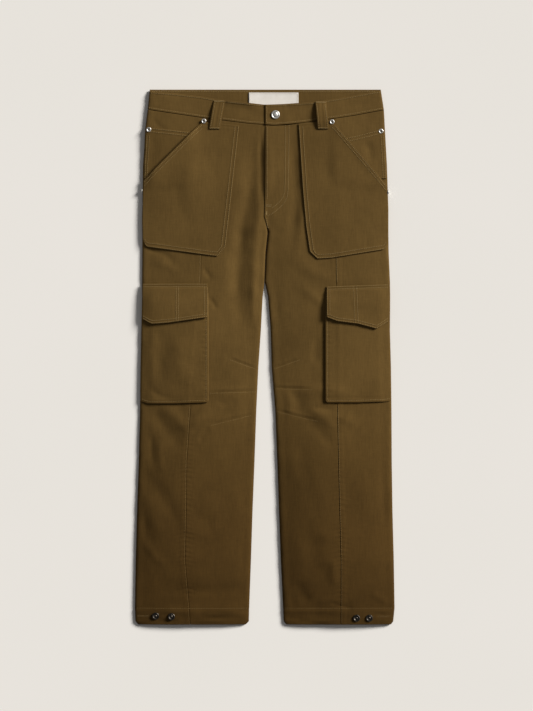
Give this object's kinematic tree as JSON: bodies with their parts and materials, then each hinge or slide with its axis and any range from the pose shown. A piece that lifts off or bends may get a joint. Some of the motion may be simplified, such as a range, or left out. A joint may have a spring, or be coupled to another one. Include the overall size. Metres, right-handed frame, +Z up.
{
  "type": "cargo pants laid flat",
  "caption": "Straight-leg cotton twill cargo pants lying flat, front up, with patch pockets, flapped knee pockets, belt loops and a shank button waist.",
  "frame": {"origin": "bottom centre of the garment's bounding box, on the surface it lies on", "axes": "+Y towards the waist, +X towards the wearer's left, +Z up out of the front"},
  "size_m": [0.51, 1.05, 0.0138],
  "materials": {
    "twill": "matte brown cotton twill with tonal stitching",
    "label": "plain off-white woven label",
    "silver_metal": "worn bright metal",
    "dark_metal": "dark gunmetal"
  },
  "bodies": {
    "root": {"back_right": "twill", "back_left": "twill", "side_front_right": "twill", "side_front_left": "twill", "front_right": "twill", "front_left": "twill", "waistband_back": "twill", "waistband_front_right": "twill", "waistband_front_left": "twill", "inner_label": "label", "patch_pocket_right": "twill", "patch_pocket_left": "twill", "coin_pocket_right": "twill", "coin_pocket_left": "twill", "cargo_pocket_right": "twill", "cargo_pocket_left": "twill", "cargo_flap_right": "twill", "cargo_flap_left": "twill", "belt_loop_front_right": "twill", "belt_loop_front_left": "twill", "belt_loop_back_right": "twill", "belt_loop_back_centre": "twill", "belt_loop_back_left": "twill", "waist_button": "silver_metal", "rivet_mouth_right": "silver_metal", "rivet_mouth_left": "silver_metal", "rivet_coin_right": "silver_metal", "rivet_coin_left": "silver_metal", "rivet_side_right": "silver_metal", "rivet_side_left": "silver_metal", "hem_button_right_outer": "dark_metal", "hem_button_right_inner": "dark_metal", "hem_button_left_inner": "dark_metal", "hem_button_left_outer": "dark_metal"}
  },
  "joints": []
}
